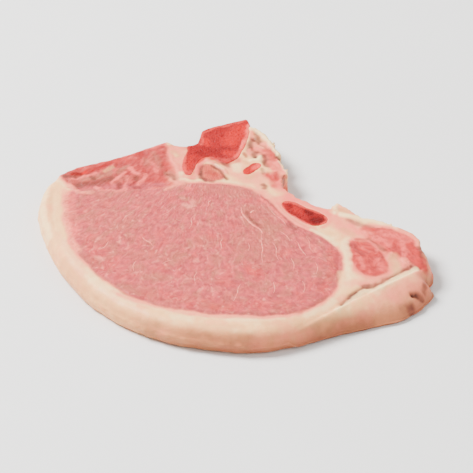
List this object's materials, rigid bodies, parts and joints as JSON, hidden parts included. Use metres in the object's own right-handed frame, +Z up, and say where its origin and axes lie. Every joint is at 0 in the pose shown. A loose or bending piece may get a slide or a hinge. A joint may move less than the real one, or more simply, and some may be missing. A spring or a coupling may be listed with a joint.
{
  "type": "raw pork chop",
  "caption": "Raw bone-in pork loin chop, cut about a centimetre thick: round pink loin eye, fat rind, sawn backbone and rib, and a short belly tail.",
  "frame": {"origin": "middle of the underside, below the centre of the chop's outline", "axes": "+X along the longest extent, from the outer fat to the belly tail; +Y from the rounded fat edge towards the backbone; +Z up, through the thickness"},
  "size_m": [0.1412, 0.1328, 0.0107],
  "materials": {
    "loin_lean": "moist raw lean, pale pink, fine grain with light marbling",
    "cap_lean": "moist raw lean, salmon pink, coarse strands",
    "tail_lean": "moist raw lean, deeper pink",
    "red_bone": "sawn bone with red marrow, damp and finely porous",
    "rib_marrow": "sawn rib with dark red marrow, damp and porous",
    "gristle": "moist pale gristle with pink streaks",
    "fat": "firm cream-white fat, satin, browner along its outer side"
  },
  "bodies": {
    "root": {"loin_eye": "loin_lean", "cap_muscle": "cap_lean", "inner_muscle": "cap_lean", "tail_muscle_upper": "tail_lean", "tail_muscle_lower": "tail_lean", "chine_bone": "red_bone", "bone_chip": "red_bone", "rib_bone": "rib_marrow", "gristle": "gristle", "fat_cap": "fat"}
  },
  "joints": []
}
